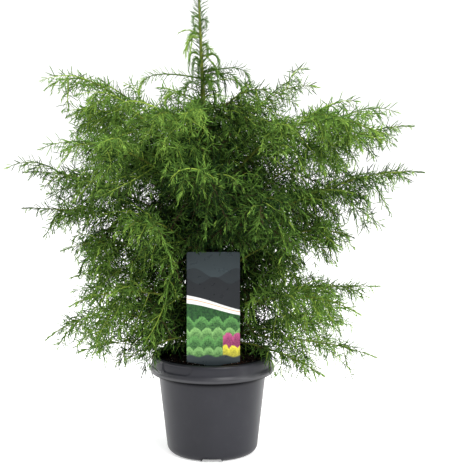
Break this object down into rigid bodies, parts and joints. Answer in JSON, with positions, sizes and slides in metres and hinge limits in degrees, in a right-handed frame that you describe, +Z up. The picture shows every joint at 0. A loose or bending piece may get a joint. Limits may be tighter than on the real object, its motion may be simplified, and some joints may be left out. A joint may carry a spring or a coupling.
{
  "type": "cryptomeria shrub in a nursery pot",
  "caption": "Young bushy cryptomeria with arching, drooping boughs of awl needles, in a round plastic nursery pot with a picture card.",
  "frame": {"origin": "centre of the pot's flat underside, on the pot's axis", "axes": "+Z up along the pot's axis, -Y to the front, where the picture card stands, +X to the viewer's right"},
  "size_m": [0.6272, 0.5052, 0.6931],
  "materials": {
    "bark": "thin brown bark with fine lengthways furrows",
    "needles": "satin green awl needles, yellower at the shoot tips",
    "pot_plastic": "moulded charcoal plastic, soft sheen",
    "soil": "dark crumbly potting soil",
    "card_plastic": "printed plastic card, satin"
  },
  "bodies": {
    "root": {"trunk": "bark", "pot": "pot_plastic", "soil": "soil", "picture_card": "card_plastic", "bough_01": "bark", "bough_02": "bark", "bough_03": "bark", "bough_04": "bark", "bough_05": "bark", "bough_06": "bark", "bough_07": "bark", "bough_08": "bark", "bough_09": "bark", "bough_10": "bark", "bough_11": "bark", "bough_12": "bark", "bough_13": "bark", "bough_14": "bark", "bough_15": "bark", "bough_16": "bark", "bough_17": "bark", "bough_18": "bark", "foliage_01": "needles", "foliage_02": "needles", "foliage_03": "needles", "foliage_04": "needles", "foliage_05": "needles", "foliage_06": "needles", "foliage_07": "needles", "foliage_08": "needles", "foliage_09": "needles", "foliage_10": "needles", "foliage_11": "needles", "foliage_12": "needles", "foliage_13": "needles", "foliage_14": "needles", "foliage_15": "needles", "foliage_16": "needles", "foliage_17": "needles", "foliage_18": "needles", "foliage_19": "needles", "foliage_20": "needles", "foliage_21": "needles", "foliage_22": "needles", "foliage_23": "needles", "foliage_24": "needles", "foliage_25": "needles", "foliage_26": "needles", "foliage_27": "needles", "foliage_28": "needles", "foliage_29": "needles", "foliage_30": "needles", "foliage_31": "needles", "foliage_32": "needles", "foliage_33": "needles", "foliage_34": "needles", "foliage_35": "needles", "foliage_36": "needles", "foliage_37": "needles", "foliage_38": "needles"}
  },
  "joints": []
}
